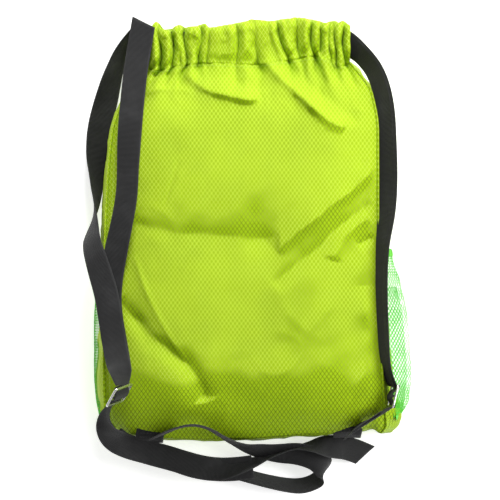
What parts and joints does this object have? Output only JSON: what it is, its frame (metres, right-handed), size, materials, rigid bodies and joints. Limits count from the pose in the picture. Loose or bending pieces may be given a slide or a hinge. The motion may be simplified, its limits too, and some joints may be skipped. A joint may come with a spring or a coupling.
{
  "type": "drawstring backpack",
  "caption": "Filled drawstring backpack lying on its front panel, with gathered mouth channels, net side pockets, flat webbing straps and metal tri-glide adjusters.",
  "frame": {"origin": "on the flat front panel that the bag lies on, near the middle of the bag", "axes": "+Z out of the back panel, away from the ground; +Y along the bag towards its mouth; +X across the bag to its right"},
  "size_m": [0.3508, 0.4875, 0.1109],
  "materials": {
    "shell_fabric": "coated ripstop nylon with a diamond lattice, soft sheen",
    "net": "open knitted net",
    "elastic": "ribbed elastic binding",
    "webbing": "ribbed polyester webbing, slightly shiny",
    "metal": "nickel plated, polished and lightly worn"
  },
  "bodies": {
    "bag": {"back_panel": "shell_fabric", "front_panel": "shell_fabric", "left_gusset": "shell_fabric", "right_gusset": "shell_fabric", "bottom_panel": "shell_fabric", "back_channel": "shell_fabric", "front_channel": "shell_fabric", "left_mesh_pocket": "net", "right_mesh_pocket": "net", "left_pocket_elastic": "elastic", "right_pocket_elastic": "elastic", "back_drawstring": "webbing", "front_drawstring": "webbing", "left_strap_inner": "webbing", "left_strap_outer": "webbing", "right_strap_inner": "webbing", "right_strap_outer": "webbing", "left_tail": "webbing", "right_tail": "webbing", "left_lower_run": "webbing", "left_upper_run": "webbing", "right_adjuster_webbing": "webbing", "left_anchor_tab": "webbing", "right_anchor_tab": "webbing"},
    "left_slider": {"left_slider": "metal", "left_slider_webbing": "webbing"},
    "right_slider": {"right_slider": "metal", "right_slider_webbing": "webbing"}
  },
  "joints": [
    {"name": "left_slider_travel", "type": "slide", "parent": "bag", "child": "left_slider", "axis": [-0.127, 0.9919, 0], "range_m": [0, 0.045]},
    {"name": "right_slider_travel", "type": "slide", "parent": "bag", "child": "right_slider", "axis": [0, 1, 0], "range_m": [0, 0.045]}
  ]
}
